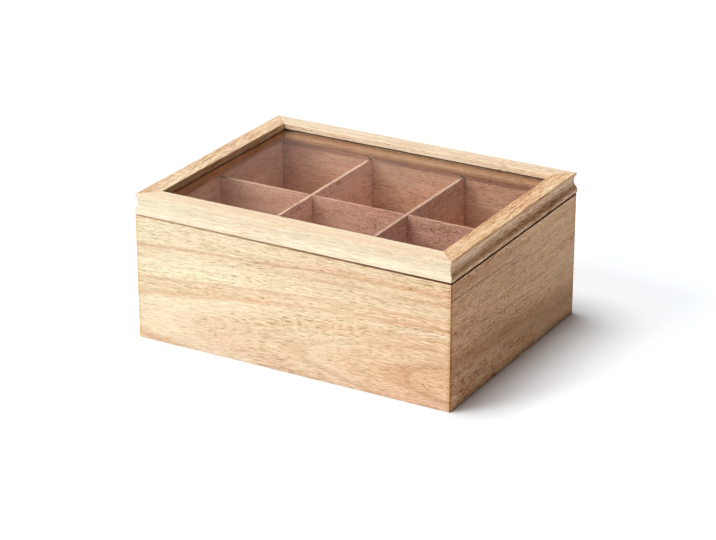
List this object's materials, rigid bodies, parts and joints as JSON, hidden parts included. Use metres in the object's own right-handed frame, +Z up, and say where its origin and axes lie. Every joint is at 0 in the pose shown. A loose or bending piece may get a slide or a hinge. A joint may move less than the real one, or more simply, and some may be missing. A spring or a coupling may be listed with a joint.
{
  "type": "tea bag organizer box",
  "caption": "Mitred wooden tea box with compartments formed by halved dividers, under a hinged lid whose coved frame holds a clear glass pane.",
  "frame": {"origin": "the middle of the case's underside, on the surface that the box stands on", "axes": "+X runs along the front to the right, -Y is the front and +Y the hinged back, +Z is up"},
  "size_m": [0.2158, 0.1706, 0.0938],
  "materials": {
    "case_wood": "pale rubberwood, satin lacquer, fine pores along the board",
    "lid_wood": "paler rubberwood, satin lacquer, fine streaks along each rail",
    "divider_wood": "thin matt boards",
    "bottom_wood": "matt plywood",
    "glass": "clear float glass, polished",
    "hinge_brass": "brushed brass",
    "bumper_felt": "dense felt"
  },
  "bodies": {
    "case": {"front_wall": "case_wood", "back_wall": "case_wood", "left_wall": "case_wood", "right_wall": "case_wood", "bottom_panel": "bottom_wood", "long_divider": "divider_wood", "cross_divider_left": "divider_wood", "cross_divider_right": "divider_wood", "hinge_left_body_leaf": "hinge_brass", "hinge_left_pin": "hinge_brass", "hinge_right_body_leaf": "hinge_brass", "hinge_right_pin": "hinge_brass", "hinge_screws_body": "hinge_brass"},
    "lid": {"lid_rail_front": "lid_wood", "lid_rail_back": "lid_wood", "lid_rail_left": "lid_wood", "lid_rail_right": "lid_wood", "glass_pane": "glass", "lid_bumpers": "bumper_felt", "hinge_left_lid_leaf": "hinge_brass", "hinge_right_lid_leaf": "hinge_brass", "hinge_screws_lid": "hinge_brass"}
  },
  "joints": [
    {"name": "lid_hinge", "type": "hinge", "parent": "case", "child": "lid", "pos_m": [0, 0.0855, 0.0805], "axis": [-1, 0, 0], "range_deg": [0, 95]}
  ]
}
